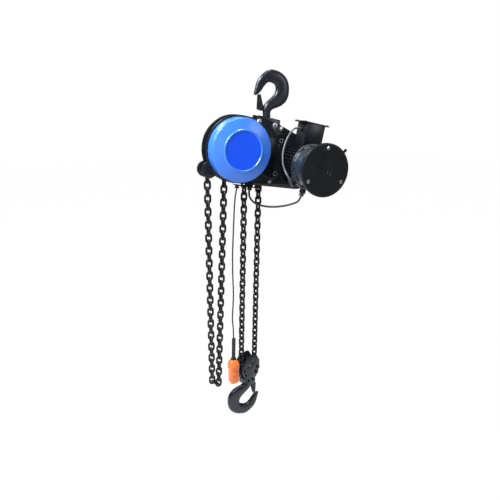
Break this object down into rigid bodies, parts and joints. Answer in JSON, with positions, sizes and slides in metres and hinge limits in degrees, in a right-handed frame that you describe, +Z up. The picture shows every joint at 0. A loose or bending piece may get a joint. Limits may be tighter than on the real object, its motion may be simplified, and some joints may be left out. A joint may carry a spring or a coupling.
{
  "type": "electric chain hoist",
  "caption": "Hook-mounted electric chain hoist with a round gear cover, side motor with brake, load chain in two falls, slack loop, hook block and hanging push-button pendant.",
  "frame": {"origin": "centre of the seat inside the top hook, where the hoist hangs", "axes": "+Z up, -Y towards the gear cover and motor end disc, +X towards the motor"},
  "size_m": [0.5844, 0.354, 1.691],
  "materials": {
    "black_paint": "satin black paint",
    "black_gloss": "gloss black paint",
    "blue_paint": "gloss blue paint",
    "hook_paint": "satin black paint",
    "latch_steel": "dark plated",
    "bolt_steel": "zinc plated",
    "gear_steel": "machined, oiled",
    "chain_steel": "dark oxide",
    "sheave_iron": "machined cast iron",
    "stator_steel": "laminated core with windings",
    "orange_plastic": "moulded",
    "button_plastic": "moulded",
    "black_rubber": "matt",
    "grey_rubber": "matt",
    "gland_plastic": "moulded"
  },
  "bodies": {
    "hook": {"top_hook": "hook_paint", "top_hook_nut": "bolt_steel"},
    "top_latch": {"top_latch": "latch_steel"},
    "yoke": {"hook_yoke": "black_paint", "swing_pin": "bolt_steel"},
    "frame": {"front_plate": "black_paint", "rear_plate": "black_paint", "gear_cover": "blue_paint", "gear_carrier": "sheave_iron", "rear_gear_case": "black_paint", "cover_screws": "bolt_steel", "stay_bolts": "bolt_steel", "shaft_bearings": "gear_steel", "anchor_pins": "bolt_steel", "anchor_bracket": "black_paint", "chain_guide": "sheave_iron", "motor_shell": "black_paint", "motor_stator": "stator_steel", "brake_housing": "black_gloss", "motor_end_disc": "black_gloss", "end_disc_screws": "bolt_steel", "brake_coil": "stator_steel", "terminal_box": "black_paint", "box_lid": "black_paint", "lid_screws": "bolt_steel", "cable_lugs": "black_paint", "cable_bracket": "black_paint", "cable_glands": "gland_plastic", "pendant_housing": "orange_plastic", "pendant_sleeve": "black_rubber", "load_chain_upper": "chain_steel", "slack_chain": "chain_steel", "pendant_cable": "black_rubber", "motor_cable": "grey_rubber", "brake_cable": "black_rubber"},
    "load_sheave": {"load_sheave": "sheave_iron", "load_gear": "gear_steel"},
    "drive": {"drive_shaft": "gear_steel", "big_gear": "gear_steel"},
    "disc_gear_upper": {"disc_gear_upper": "gear_steel"},
    "disc_gear_lower": {"disc_gear_lower": "gear_steel"},
    "first_gear": {"first_gear": "gear_steel"},
    "idler_gear": {"idler_gear": "gear_steel"},
    "rotor": {"motor_rotor": "gear_steel", "brake_disc": "gear_steel"},
    "armature": {"brake_armature": "gear_steel"},
    "chain_mid_a": {"load_chain_mid_a": "chain_steel"},
    "chain_mid_b": {"load_chain_mid_b": "chain_steel"},
    "hook_block": {"front_cheek": "black_paint", "rear_cheek": "black_paint", "block_axle": "bolt_steel", "block_bolts": "bolt_steel", "block_crosshead": "black_paint", "load_chain_lower": "chain_steel"},
    "return_sheave": {"return_sheave": "sheave_iron"},
    "load_hook": {"load_hook": "hook_paint"},
    "load_latch": {"load_latch": "latch_steel"},
    "button_up": {"button_up": "button_plastic"},
    "button_down": {"button_down": "button_plastic"}
  },
  "joints": [
    {"name": "rotor_spin", "type": "hinge", "parent": "frame", "child": "rotor", "pos_m": [0.14786, 0, -0.35253], "axis": [0, 1, 0], "range_deg": [0, 254000]},
    {"name": "yoke_swivel", "type": "hinge", "parent": "hook", "child": "yoke", "pos_m": [-0.004, 0, 0], "axis": [0, 0, 1], "continuous": true},
    {"name": "body_swing", "type": "hinge", "parent": "yoke", "child": "frame", "pos_m": [-0.004, 0, -0.215], "axis": [0, 1, 0], "range_deg": [-10, 10]},
    {"name": "top_latch_hinge", "type": "hinge", "parent": "hook", "child": "top_latch", "pos_m": [-0.031, 0, -0.11], "axis": [0, 1, 0], "range_deg": [0, 28], "stiffness_Nm_per_rad": 0.1, "springref_deg": -28.65},
    {"name": "first_gear_spin", "type": "hinge", "parent": "frame", "child": "first_gear", "pos_m": [0.05059, 0, -0.32933], "axis": [0, -1, 0], "range_deg": [0, 64770]},
    {"name": "idler_spin", "type": "hinge", "parent": "frame", "child": "idler_gear", "pos_m": [-0.00771, 0, -0.2953], "axis": [0, -1, 0], "range_deg": [-32385, 0]},
    {"name": "drive_spin", "type": "hinge", "parent": "frame", "child": "drive", "pos_m": [-0.152, 0, -0.281], "axis": [0, -1, 0], "range_deg": [0, 14574]},
    {"name": "disc_upper_spin", "type": "hinge", "parent": "frame", "child": "disc_gear_upper", "pos_m": [-0.14131, 0, -0.22603], "axis": [0, -1, 0], "range_deg": [-4406, 0]},
    {"name": "disc_lower_spin", "type": "hinge", "parent": "frame", "child": "disc_gear_lower", "pos_m": [-0.16269, 0, -0.33597], "axis": [0, -1, 0], "range_deg": [-4406, 0]},
    {"name": "sheave_spin", "type": "hinge", "parent": "frame", "child": "load_sheave", "pos_m": [-0.152, 0, -0.281], "axis": [0, -1, 0], "range_deg": [0, 1440], "deforming": ["slack_chain"]},
    {"name": "block_lift", "type": "slide", "parent": "frame", "child": "hook_block", "axis": [0, 0, 1], "range_m": [0, 0.6], "deforming": ["load_chain_upper", "load_chain_mid_a", "load_chain_mid_b", "load_chain_lower"]},
    {"name": "chain_a_lift", "type": "slide", "parent": "frame", "child": "chain_mid_a", "axis": [0, 0, 1], "range_m": [0, 0.12]},
    {"name": "chain_b_lift", "type": "slide", "parent": "frame", "child": "chain_mid_b", "axis": [0, 0, 1], "range_m": [0, 0.36]},
    {"name": "return_sheave_spin", "type": "hinge", "parent": "hook_block", "child": "return_sheave", "pos_m": [-0.06411, 0.01522, -1.36495], "axis": [0.342, -0.9397, 0], "range_deg": [-720, 0]},
    {"name": "load_hook_swivel", "type": "hinge", "parent": "hook_block", "child": "load_hook", "pos_m": [-0.06411, 0.01522, -1.46279], "axis": [0, 0, 1], "continuous": true},
    {"name": "load_latch_hinge", "type": "hinge", "parent": "load_hook", "child": "load_latch", "pos_m": [-0.03711, 0.01522, -1.47279], "axis": [0, 1, 0], "range_deg": [0, 28], "stiffness_Nm_per_rad": 0.1, "springref_deg": -28.65},
    {"name": "armature_slide", "type": "slide", "parent": "frame", "child": "armature", "axis": [0, -1, 0], "range_m": [0, 0.0006], "stiffness_N_per_m": 20000, "springref_m": -0.002},
    {"name": "button_up_press", "type": "slide", "parent": "frame", "child": "button_up", "axis": [0, 1, 0], "range_m": [0, 0.004], "stiffness_N_per_m": 400, "springref_m": -0.002},
    {"name": "button_down_press", "type": "slide", "parent": "frame", "child": "button_down", "axis": [0, 1, 0], "range_m": [0, 0.004], "stiffness_N_per_m": 400, "springref_m": -0.002}
  ],
  "couplings": [
    {"joint": "first_gear_spin", "follows": "rotor_spin", "ratio": 0.25},
    {"joint": "idler_spin", "follows": "rotor_spin", "ratio": -0.125},
    {"joint": "drive_spin", "follows": "rotor_spin", "ratio": 0.05625},
    {"joint": "disc_upper_spin", "follows": "rotor_spin", "ratio": -0.017006},
    {"joint": "disc_lower_spin", "follows": "rotor_spin", "ratio": -0.017006},
    {"joint": "sheave_spin", "follows": "rotor_spin", "ratio": 0.0056686},
    {"joint": "block_lift", "follows": "rotor_spin", "m_per_rad": 0.00013533},
    {"joint": "chain_a_lift", "follows": "rotor_spin", "m_per_rad": 0.000027066},
    {"joint": "chain_b_lift", "follows": "rotor_spin", "m_per_rad": 0.000081197},
    {"joint": "return_sheave_spin", "follows": "rotor_spin", "ratio": -0.0028343}
  ]
}
